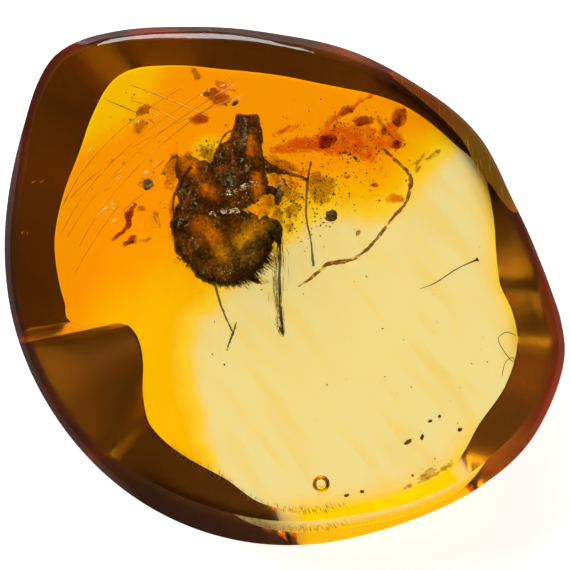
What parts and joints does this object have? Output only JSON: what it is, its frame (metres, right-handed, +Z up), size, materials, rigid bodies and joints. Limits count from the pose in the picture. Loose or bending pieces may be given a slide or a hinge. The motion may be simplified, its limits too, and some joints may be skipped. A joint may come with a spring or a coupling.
{
  "type": "insect in amber",
  "caption": "Hand-polished see-through amber pebble with a flat back, holding a curled, long-haired insect and scattered plant debris.",
  "frame": {"origin": "the middle of the stone's flat back, below the centre of its bounding box", "axes": "+Z up out of the flat back, through the front; +X along the stone's width; +Y to the top edge, on the side of the insect's head"},
  "size_m": [0.036, 0.0333, 0.009],
  "materials": {
    "amber": "clear yellow-orange resin, hand-polished, darker at the rim",
    "chitin": "dark brown insect, orange where light comes through",
    "bark": "red-brown flakes of bark and twig",
    "grit": "dark crumbs, a grey grain, a stalk and a fibre",
    "seam": "orange-brown fill of a healed crack"
  },
  "bodies": {
    "root": {"amber_lower": "amber", "amber_upper": "amber", "bark_flake_1": "bark", "bark_flake_2": "bark", "bark_flake_3": "bark", "bark_flake_4": "bark", "bark_flake_5": "bark", "bark_flake_6": "bark", "bark_flake_7": "bark", "bark_flake_8": "bark", "bark_flake_9": "bark", "crack_seam": "seam", "crumb_1": "grit", "crumb_2": "grit", "crumb_3": "grit", "crumb_4": "grit", "crumb_5": "grit", "crumb_6": "grit", "crumb_7": "grit", "crumb_8": "grit", "crumb_9": "grit", "fibre": "grit", "grey_grain": "grit", "insect": "chitin", "red_grain_1": "bark", "red_grain_2": "bark", "red_grain_3": "bark", "stalk": "grit", "twig_1": "bark", "twig_2": "bark"}
  },
  "joints": []
}
